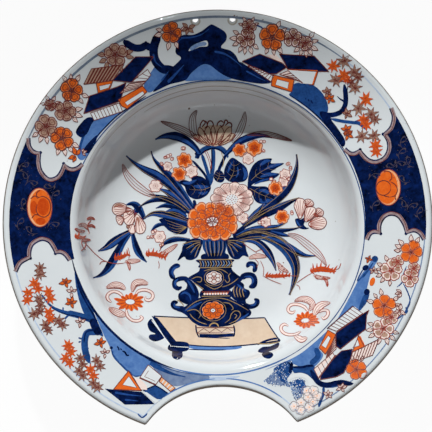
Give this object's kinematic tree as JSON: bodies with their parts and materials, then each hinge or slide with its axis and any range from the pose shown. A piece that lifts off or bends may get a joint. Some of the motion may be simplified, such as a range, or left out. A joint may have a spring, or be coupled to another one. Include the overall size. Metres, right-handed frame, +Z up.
{
  "type": "barber bowl",
  "caption": "Round porcelain shaving bowl with a deep well, a broad sloping brim cut by a neck notch, hanging holes in the rim and a foot ring.",
  "frame": {"origin": "centre of the foot ring, on the surface that the bowl stands on", "axes": "+Z up out of the well; the neck notch faces -Y and the hanging holes are at +Y"},
  "size_m": [0.27, 0.2616, 0.062],
  "materials": {
    "paste": "fired porcelain paste, bare and matt on the foot's edge",
    "glaze": "bluish white gloss glaze with painted decoration"
  },
  "bodies": {
    "root": {"well": "paste", "brim": "paste", "foot_ring": "paste", "glaze_coat": "glaze", "base_glaze": "glaze"}
  },
  "joints": []
}
